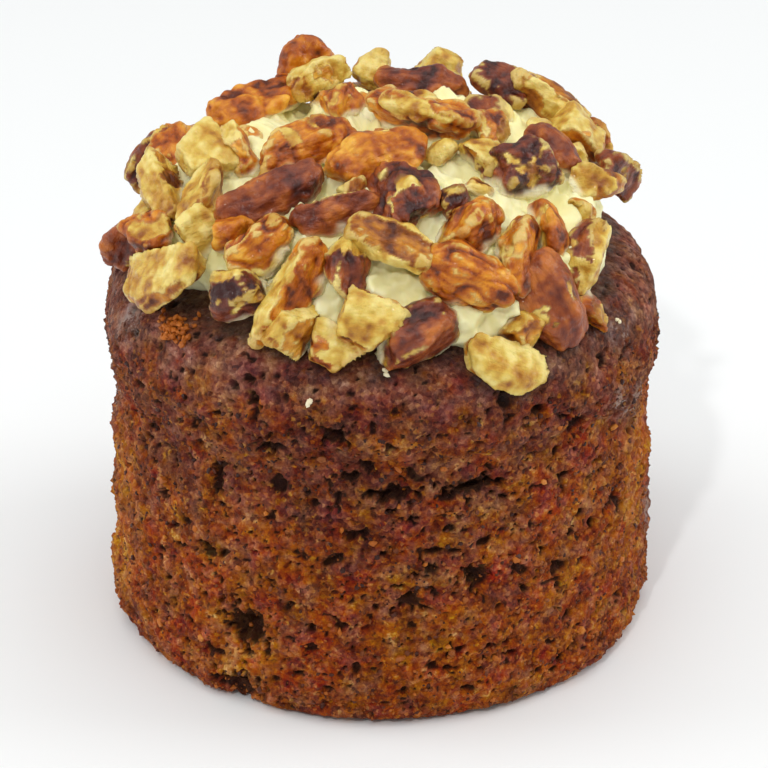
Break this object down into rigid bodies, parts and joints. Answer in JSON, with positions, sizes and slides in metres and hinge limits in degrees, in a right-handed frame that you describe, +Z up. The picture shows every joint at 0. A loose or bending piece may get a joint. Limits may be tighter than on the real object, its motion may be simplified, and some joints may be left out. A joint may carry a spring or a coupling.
{
  "type": "carrot cake",
  "caption": "Small round carrot cake with a domed crumbly sponge, cream cheese frosting and chopped pecans on top.",
  "frame": {"origin": "centre of the cake's flat base, at the middle of the box round the cake", "axes": "+Z up out of the frosting, -Y towards the front as pictured, +X to the right seen from the front"},
  "size_m": [0.0767, 0.0764, 0.075],
  "materials": {
    "sponge": "moist open crumb with a browned, dull crust",
    "frosting": "soft satin cream",
    "pecan_amber": "oily satin skin over pale flesh",
    "pecan_dark": "oily satin dark skin over pale flesh",
    "pecan_pale": "broken pale flesh with strips of skin"
  },
  "bodies": {
    "root": {"sponge": "sponge", "frosting": "frosting", "pecan_01": "pecan_amber", "pecan_02": "pecan_pale", "pecan_03": "pecan_pale", "pecan_04": "pecan_amber", "pecan_05": "pecan_amber", "pecan_06": "pecan_pale", "pecan_07": "pecan_amber", "pecan_08": "pecan_dark", "pecan_09": "pecan_amber", "pecan_10": "pecan_pale", "pecan_11": "pecan_pale", "pecan_12": "pecan_dark", "pecan_13": "pecan_amber", "pecan_14": "pecan_amber", "pecan_15": "pecan_dark", "pecan_16": "pecan_amber", "pecan_17": "pecan_amber", "pecan_18": "pecan_dark", "pecan_19": "pecan_pale", "pecan_20": "pecan_dark", "pecan_21": "pecan_pale", "pecan_22": "pecan_amber", "pecan_23": "pecan_amber", "pecan_24": "pecan_dark", "pecan_25": "pecan_dark", "pecan_26": "pecan_pale", "pecan_27": "pecan_pale", "pecan_28": "pecan_dark", "pecan_29": "pecan_dark", "pecan_30": "pecan_amber", "pecan_31": "pecan_amber", "pecan_32": "pecan_amber", "pecan_33": "pecan_dark", "pecan_34": "pecan_amber", "pecan_35": "pecan_dark", "pecan_36": "pecan_amber", "pecan_37": "pecan_pale", "pecan_38": "pecan_pale", "pecan_39": "pecan_dark", "pecan_40": "pecan_pale", "pecan_41": "pecan_amber", "pecan_42": "pecan_dark", "pecan_43": "pecan_amber", "pecan_44": "pecan_pale", "pecan_45": "pecan_dark", "pecan_46": "pecan_amber", "pecan_47": "pecan_amber", "pecan_48": "pecan_amber", "pecan_49": "pecan_pale", "pecan_50": "pecan_amber", "pecan_51": "pecan_dark", "pecan_52": "pecan_pale", "pecan_53": "pecan_dark", "pecan_54": "pecan_amber", "pecan_55": "pecan_pale", "pecan_56": "pecan_dark", "pecan_57": "pecan_amber", "pecan_58": "pecan_pale"}
  },
  "joints": []
}
